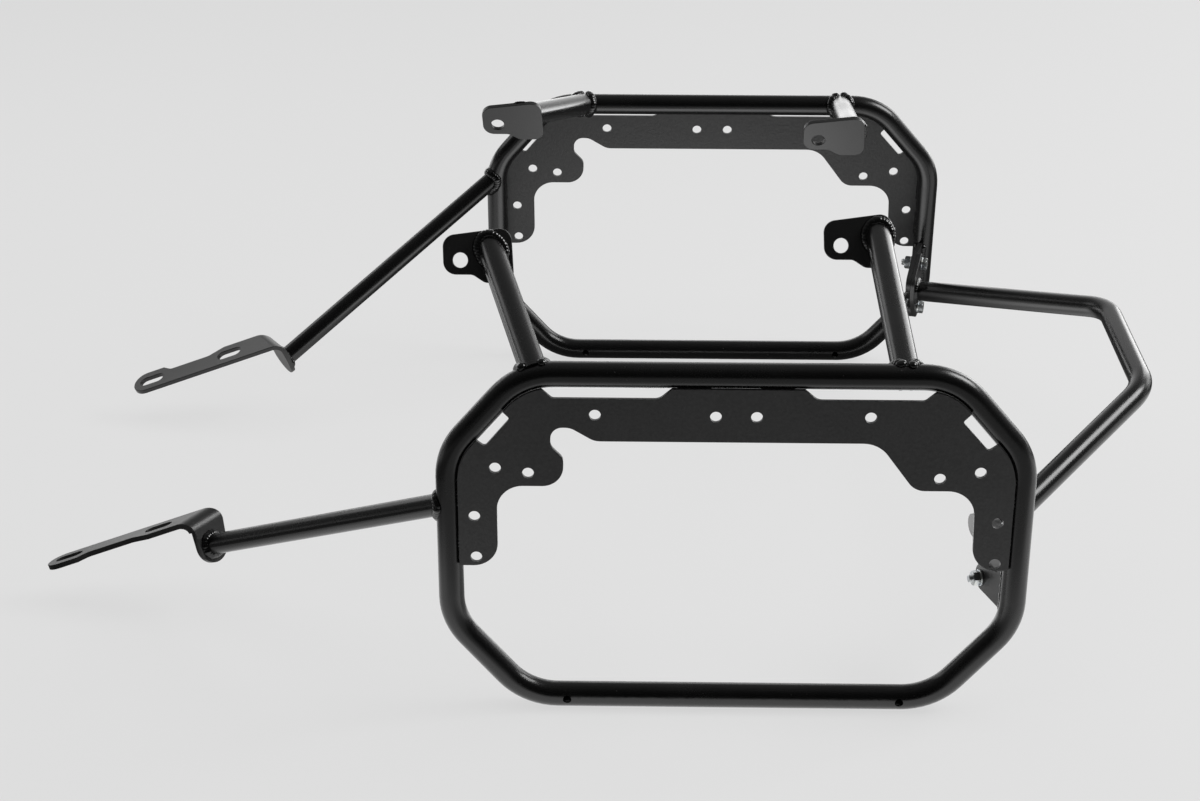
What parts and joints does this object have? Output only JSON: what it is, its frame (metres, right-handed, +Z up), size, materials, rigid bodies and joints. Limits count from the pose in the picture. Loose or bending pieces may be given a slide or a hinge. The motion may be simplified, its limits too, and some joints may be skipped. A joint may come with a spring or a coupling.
{
  "type": "pannier frame",
  "caption": "Pair of bent-tube motorcycle pannier racks with drilled carrier plates, stand-off ears and slotted front stays, joined by a bent bar at the rear.",
  "frame": {"origin": "on the floor under the middle of the bounding box", "axes": "+X to the rear of the bike, along the racks; +Y from the left rack to the right rack; +Z up"},
  "size_m": [0.8553, 0.6014, 0.3073],
  "materials": {
    "tube_black": "semi-gloss black powder coat on bent steel tube",
    "plate_black": "satin black powder coat on laser-cut sheet",
    "sheet_black": "satin black powder coat on folded and stamped sheet",
    "weld_black": "lumpy weld bead under the same black coat",
    "zinc_fasteners": "bright zinc plate"
  },
  "bodies": {
    "root": {"bar_bolts": "zinc_fasteners", "bar_nuts": "zinc_fasteners", "bar_washers": "zinc_fasteners", "left_bar_weld": "weld_black", "left_bracket": "sheet_black", "left_flange": "sheet_black", "left_front_ear": "sheet_black", "left_front_standoff": "tube_black", "left_hoop": "tube_black", "left_lug": "sheet_black", "left_lug_welds": "weld_black", "left_plate": "plate_black", "left_plate_welds": "weld_black", "left_rear_ear": "sheet_black", "left_rear_standoff": "tube_black", "left_standoff_welds": "weld_black", "left_stay": "tube_black", "left_stay_welds": "weld_black", "rear_bar": "tube_black", "right_bar_weld": "weld_black", "right_bracket": "sheet_black", "right_flange": "sheet_black", "right_front_ear": "sheet_black", "right_front_standoff": "tube_black", "right_hoop": "tube_black", "right_lug": "sheet_black", "right_lug_welds": "weld_black", "right_plate": "plate_black", "right_plate_welds": "weld_black", "right_rear_ear": "sheet_black", "right_rear_standoff": "tube_black", "right_standoff_welds": "weld_black", "right_stay": "tube_black", "right_stay_welds": "weld_black"}
  },
  "joints": []
}
